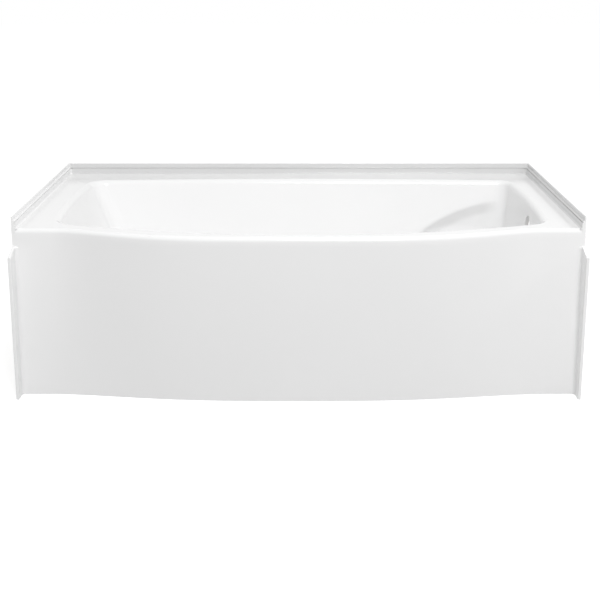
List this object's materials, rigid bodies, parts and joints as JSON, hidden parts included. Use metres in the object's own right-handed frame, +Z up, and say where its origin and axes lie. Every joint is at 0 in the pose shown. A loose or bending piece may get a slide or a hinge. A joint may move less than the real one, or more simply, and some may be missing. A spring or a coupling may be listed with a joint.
{
  "type": "alcove bathtub",
  "caption": "Alcove bathtub with a bowed apron, a tile flange on three sides, a sloped backrest, end drain and overflow holes, and levelling feet under a board base.",
  "frame": {"origin": "middle of the overall box, on the floor", "axes": "+X along the bath to its drain end, +Y to the back wall, +Z up; the apron faces -Y"},
  "size_m": [1.524, 0.8539, 0.498],
  "materials": {
    "acrylic": "glossy white acrylic",
    "glass_fibre": "rough chopped-strand laminate",
    "board": "raw pressed board",
    "timber": "raw softwood",
    "zinc_steel": "zinc plated",
    "pad_rubber": "matt"
  },
  "bodies": {
    "root": {"tub_shell": "acrylic", "laminate_backing": "glass_fibre", "drain_pad": "glass_fibre", "overflow_pad": "glass_fibre", "base_board": "board", "left_batten": "timber", "right_batten": "timber", "back_batten": "timber", "apron_rail": "timber", "head_bearer": "zinc_steel", "foot_bearer": "zinc_steel", "board_screws": "zinc_steel", "weld_nuts": "zinc_steel", "jam_nuts": "zinc_steel"},
    "pad_1": {"foot_pad_1": "pad_rubber"},
    "stud_1": {"foot_stud_1": "zinc_steel"},
    "pad_2": {"foot_pad_2": "pad_rubber"},
    "stud_2": {"foot_stud_2": "zinc_steel"},
    "pad_3": {"foot_pad_3": "pad_rubber"},
    "stud_3": {"foot_stud_3": "zinc_steel"},
    "pad_4": {"foot_pad_4": "pad_rubber"},
    "stud_4": {"foot_stud_4": "zinc_steel"}
  },
  "joints": [
    {"name": "foot_lift_1", "type": "slide", "parent": "root", "child": "pad_1", "axis": [0, 0, -1], "range_m": [0, 0.02]},
    {"name": "foot_turn_1", "type": "hinge", "parent": "pad_1", "child": "stud_1", "pos_m": [-0.33, -0.313, 0], "axis": [0, 0, -1], "range_deg": [0, 4114.29]},
    {"name": "foot_lift_2", "type": "slide", "parent": "root", "child": "pad_2", "axis": [0, 0, -1], "range_m": [0, 0.02]},
    {"name": "foot_turn_2", "type": "hinge", "parent": "pad_2", "child": "stud_2", "pos_m": [-0.33, 0.267, 0], "axis": [0, 0, -1], "range_deg": [0, 4114.29]},
    {"name": "foot_lift_3", "type": "slide", "parent": "root", "child": "pad_3", "axis": [0, 0, -1], "range_m": [0, 0.02]},
    {"name": "foot_turn_3", "type": "hinge", "parent": "pad_3", "child": "stud_3", "pos_m": [0.33, -0.313, 0], "axis": [0, 0, -1], "range_deg": [0, 4114.29]},
    {"name": "foot_lift_4", "type": "slide", "parent": "root", "child": "pad_4", "axis": [0, 0, -1], "range_m": [0, 0.02]},
    {"name": "foot_turn_4", "type": "hinge", "parent": "pad_4", "child": "stud_4", "pos_m": [0.33, 0.267, 0], "axis": [0, 0, -1], "range_deg": [0, 4114.29]}
  ],
  "couplings": [
    {"joint": "foot_turn_1", "follows": "foot_lift_1", "rad_per_m": 3590.4},
    {"joint": "foot_turn_2", "follows": "foot_lift_2", "rad_per_m": 3590.4},
    {"joint": "foot_turn_3", "follows": "foot_lift_3", "rad_per_m": 3590.4},
    {"joint": "foot_turn_4", "follows": "foot_lift_4", "rad_per_m": 3590.4}
  ]
}
